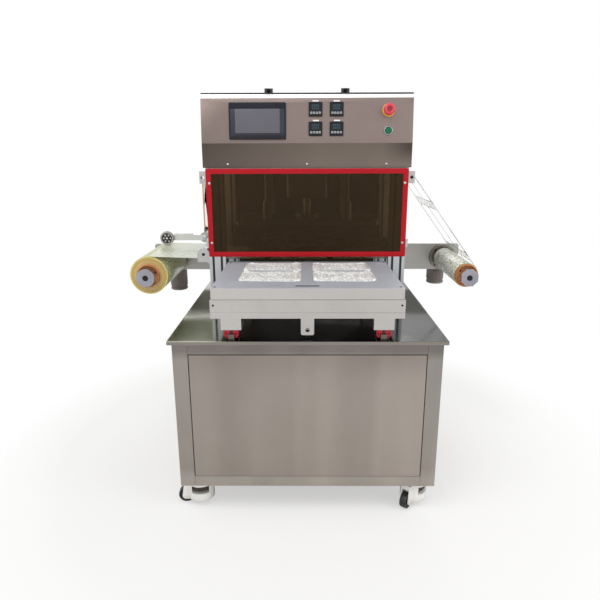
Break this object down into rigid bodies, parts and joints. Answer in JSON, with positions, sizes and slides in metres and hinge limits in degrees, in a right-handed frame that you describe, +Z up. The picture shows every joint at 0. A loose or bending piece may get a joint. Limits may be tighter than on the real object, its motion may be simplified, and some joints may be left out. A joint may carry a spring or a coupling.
{
  "type": "tray sealer",
  "caption": "Drawer tray sealer on a stainless cabinet with casters: heated press over a sliding mould drawer, film winders at both sides, tinted guard and sloping control box.",
  "frame": {"origin": "on the floor, under the middle of the whole machine", "axes": "+X to the right seen from the drawer side, +Y from the drawer side to the motors at the back, +Z up"},
  "size_m": [1.322, 0.92, 1.3483],
  "materials": {
    "stainless": "brushed stainless sheet",
    "stainless_dark": "polished stainless worktop",
    "box_stainless": "brushed stainless sheet, warm",
    "extrusion": "anodised extrusion",
    "plate_alu": "milled aluminium",
    "drawer_steel": "satin plate",
    "mould": "anodised aluminium",
    "tray": "sealed trays, film top",
    "carriage_red": "red end caps",
    "rail_steel": "ground steel",
    "rod_chrome": "hard chromed",
    "cylinder_alu": "anodised",
    "heater": "heat-stained",
    "die": "milled",
    "tinted_acrylic": "brown tinted acrylic",
    "red_film": "printed border",
    "screw_steel": "button-head screws",
    "bracket_alu": "plate",
    "housing": "machined",
    "motor": "dark grey paint",
    "shaft": "turned",
    "film_roll": "wound film on a core",
    "film_waste": "wound film on a core",
    "film": "clear printed film",
    "black_rubber": "black rubber tread",
    "caster_cream": "cream white enamel",
    "caster_black": "black wheel",
    "thumb_brown": "dark brown",
    "foot": "black pad on a steel stem",
    "zinc": "zinc-plated",
    "screen": "dark bezel with a grey screen",
    "gauge": "black controller with a display",
    "electrics": "light grey modules",
    "button_base": "yellow ring; silver ring",
    "red_plastic": "red mushroom head",
    "green_plastic": "green cap",
    "hinge_black": "black hinge"
  },
  "bodies": {
    "frame": {"cabinet_frame": "stainless", "cabinet_panels": "stainless", "worktop": "stainless_dark", "caster_plates": "zinc", "guide_rails": "rail_steel", "drawer_cylinder": "cylinder_alu", "press_posts": "extrusion", "crown_plate": "plate_alu", "press_cylinder": "cylinder_alu", "guard_window": "tinted_acrylic", "guard_border": "red_film", "fasteners": "screw_steel", "roll_brackets": "bracket_alu", "bearing_housings": "housing", "winder_gearmotors": "motor", "film": "film", "control_box": "box_stainless", "lid_hinges": "hinge_black", "electrics": "electrics", "touch_screen": "screen", "temperature_controllers": "gauge", "button_bases": "button_base"},
    "drawer": {"drawer_base": "drawer_steel", "drawer_walls": "drawer_steel", "tray_mould": "mould", "trays": "tray", "rail_carriages": "carriage_red", "drawer_rod": "rod_chrome"},
    "press": {"press_rod": "rod_chrome", "press_plate": "plate_alu", "heater_block": "heater", "sealing_die": "die"},
    "lid": {"control_box_lid": "box_stainless"},
    "supply": {"supply_shaft": "shaft", "supply_roll": "film_roll"},
    "take_up": {"take_up_shaft": "shaft", "take_up_roll": "film_waste"},
    "entrance": {"entrance_roller": "shaft"},
    "exit": {"exit_roller": "shaft"},
    "upper": {"upper_roller": "shaft"},
    "arm": {"measuring_arm": "bracket_alu"},
    "arm_wheel": {"measuring_wheel": "black_rubber"},
    "stop_button": {"emergency_stop_head": "red_plastic"},
    "start_button": {"start_button_cap": "green_plastic"},
    "caster_fl": {"caster_body_fl": "caster_cream"},
    "wheel_fl": {"caster_wheel_fl": "caster_black"},
    "thumb_fl": {"caster_thumb_fl": "thumb_brown"},
    "foot_fl": {"caster_foot_fl": "foot"},
    "caster_fr": {"caster_body_fr": "caster_cream"},
    "wheel_fr": {"caster_wheel_fr": "caster_black"},
    "thumb_fr": {"caster_thumb_fr": "thumb_brown"},
    "foot_fr": {"caster_foot_fr": "foot"},
    "caster_rl": {"caster_body_rl": "caster_cream"},
    "wheel_rl": {"caster_wheel_rl": "caster_black"},
    "thumb_rl": {"caster_thumb_rl": "thumb_brown"},
    "foot_rl": {"caster_foot_rl": "foot"},
    "caster_rr": {"caster_body_rr": "caster_cream"},
    "wheel_rr": {"caster_wheel_rr": "caster_black"},
    "thumb_rr": {"caster_thumb_rr": "thumb_brown"},
    "foot_rr": {"caster_foot_rr": "foot"}
  },
  "joints": [
    {"name": "drawer_slide", "type": "slide", "parent": "frame", "child": "drawer", "axis": [0, 1, 0], "range_m": [0, 0.371]},
    {"name": "press_slide", "type": "slide", "parent": "frame", "child": "press", "axis": [0, 0, -1], "range_m": [0, 0.036]},
    {"name": "lid_hinge", "type": "hinge", "parent": "frame", "child": "lid", "pos_m": [0, -0.022, 1.3423], "axis": [1, 0, 0], "range_deg": [0, 100]},
    {"name": "supply_roll_spin", "type": "hinge", "parent": "frame", "child": "supply", "pos_m": [-0.59, 0.154, 0.696], "axis": [0, 1, 0], "continuous": true},
    {"name": "take_up_roll_spin", "type": "hinge", "parent": "frame", "child": "take_up", "pos_m": [0.592, 0.154, 0.696], "axis": [0, 1, 0], "continuous": true},
    {"name": "entrance_roller_spin", "type": "hinge", "parent": "frame", "child": "entrance", "pos_m": [-0.38, 0.154, 0.7774], "axis": [0, 1, 0], "continuous": true},
    {"name": "exit_roller_spin", "type": "hinge", "parent": "frame", "child": "exit", "pos_m": [0.325, 0.154, 0.7774], "axis": [0, 1, 0], "continuous": true},
    {"name": "upper_roller_spin", "type": "hinge", "parent": "frame", "child": "upper", "pos_m": [0.366, 0.154, 1.054], "axis": [0, 1, 0], "continuous": true},
    {"name": "measuring_arm_hinge", "type": "hinge", "parent": "frame", "child": "arm", "pos_m": [-0.425, 0.265, 0.7957], "axis": [0, 1, 0], "range_deg": [0, 40]},
    {"name": "measuring_wheel_spin", "type": "hinge", "parent": "arm", "child": "arm_wheel", "pos_m": [-0.58, 0.256, 0.7957], "axis": [0, 1, 0], "continuous": true},
    {"name": "emergency_stop_push", "type": "slide", "parent": "frame", "child": "stop_button", "axis": [0, 0.9948, -0.1015], "range_m": [0, 0.004]},
    {"name": "start_button_push", "type": "slide", "parent": "frame", "child": "start_button", "axis": [0, 0.9948, -0.1015], "range_m": [0, 0.0025], "stiffness_N_per_m": 400},
    {"name": "caster_fl_swivel", "type": "hinge", "parent": "frame", "child": "caster_fl", "pos_m": [-0.3575, -0.382, 0.09], "axis": [0, 0, 1], "continuous": true},
    {"name": "wheel_fl_roll", "type": "hinge", "parent": "caster_fl", "child": "wheel_fl", "pos_m": [-0.40738, -0.38549, 0.026], "axis": [-0.0698, 0.9976, 0], "continuous": true},
    {"name": "thumb_fl_turn", "type": "hinge", "parent": "caster_fl", "child": "thumb_fl", "pos_m": [-0.3575, -0.382, 0.072], "axis": [0, 0, 1], "range_deg": [0, 1440]},
    {"name": "foot_fl_slide", "type": "slide", "parent": "caster_fl", "child": "foot_fl", "axis": [0, 0, 1], "range_m": [-0.0141, 0]},
    {"name": "caster_fr_swivel", "type": "hinge", "parent": "frame", "child": "caster_fr", "pos_m": [0.3575, -0.382, 0.09], "axis": [0, 0, 1], "continuous": true},
    {"name": "wheel_fr_roll", "type": "hinge", "parent": "caster_fr", "child": "wheel_fr", "pos_m": [0.32672, -0.4214, 0.026], "axis": [-0.788, 0.6157, 0], "continuous": true},
    {"name": "thumb_fr_turn", "type": "hinge", "parent": "caster_fr", "child": "thumb_fr", "pos_m": [0.3575, -0.382, 0.072], "axis": [0, 0, 1], "range_deg": [0, 1440]},
    {"name": "foot_fr_slide", "type": "slide", "parent": "caster_fr", "child": "foot_fr", "axis": [0, 0, 1], "range_m": [-0.0141, 0]},
    {"name": "caster_rl_swivel", "type": "hinge", "parent": "frame", "child": "caster_rl", "pos_m": [-0.3575, 0.382, 0.09], "axis": [0, 0, 1], "continuous": true},
    {"name": "wheel_rl_roll", "type": "hinge", "parent": "caster_rl", "child": "wheel_rl", "pos_m": [-0.4008, 0.357, 0.026], "axis": [-0.5, 0.866, 0], "continuous": true},
    {"name": "thumb_rl_turn", "type": "hinge", "parent": "caster_rl", "child": "thumb_rl", "pos_m": [-0.3575, 0.382, 0.072], "axis": [0, 0, 1], "range_deg": [0, 1440]},
    {"name": "foot_rl_slide", "type": "slide", "parent": "caster_rl", "child": "foot_rl", "axis": [0, 0, 1], "range_m": [-0.0141, 0]},
    {"name": "caster_rr_swivel", "type": "hinge", "parent": "frame", "child": "caster_rr", "pos_m": [0.3575, 0.382, 0.09], "axis": [0, 0, 1], "continuous": true},
    {"name": "wheel_rr_roll", "type": "hinge", "parent": "caster_rr", "child": "wheel_rr", "pos_m": [0.31051, 0.3991, 0.026], "axis": [0.342, 0.9397, 0], "continuous": true},
    {"name": "thumb_rr_turn", "type": "hinge", "parent": "caster_rr", "child": "thumb_rr", "pos_m": [0.3575, 0.382, 0.072], "axis": [0, 0, 1], "range_deg": [0, 1440]},
    {"name": "foot_rr_slide", "type": "slide", "parent": "caster_rr", "child": "foot_rr", "axis": [0, 0, 1], "range_m": [-0.0141, 0]}
  ],
  "couplings": [
    {"joint": "take_up_roll_spin", "follows": "supply_roll_spin", "ratio": 1.5778},
    {"joint": "entrance_roller_spin", "follows": "supply_roll_spin", "ratio": -4.303},
    {"joint": "exit_roller_spin", "follows": "supply_roll_spin", "ratio": -4.303},
    {"joint": "upper_roller_spin", "follows": "supply_roll_spin", "ratio": 5.0714},
    {"joint": "measuring_wheel_spin", "follows": "supply_roll_spin", "ratio": -2.5818},
    {"joint": "foot_fl_slide", "follows": "thumb_fl_turn", "m_per_rad": -0.00055704},
    {"joint": "foot_fr_slide", "follows": "thumb_fr_turn", "m_per_rad": -0.00055704},
    {"joint": "foot_rl_slide", "follows": "thumb_rl_turn", "m_per_rad": -0.00055704},
    {"joint": "foot_rr_slide", "follows": "thumb_rr_turn", "m_per_rad": -0.00055704}
  ]
}
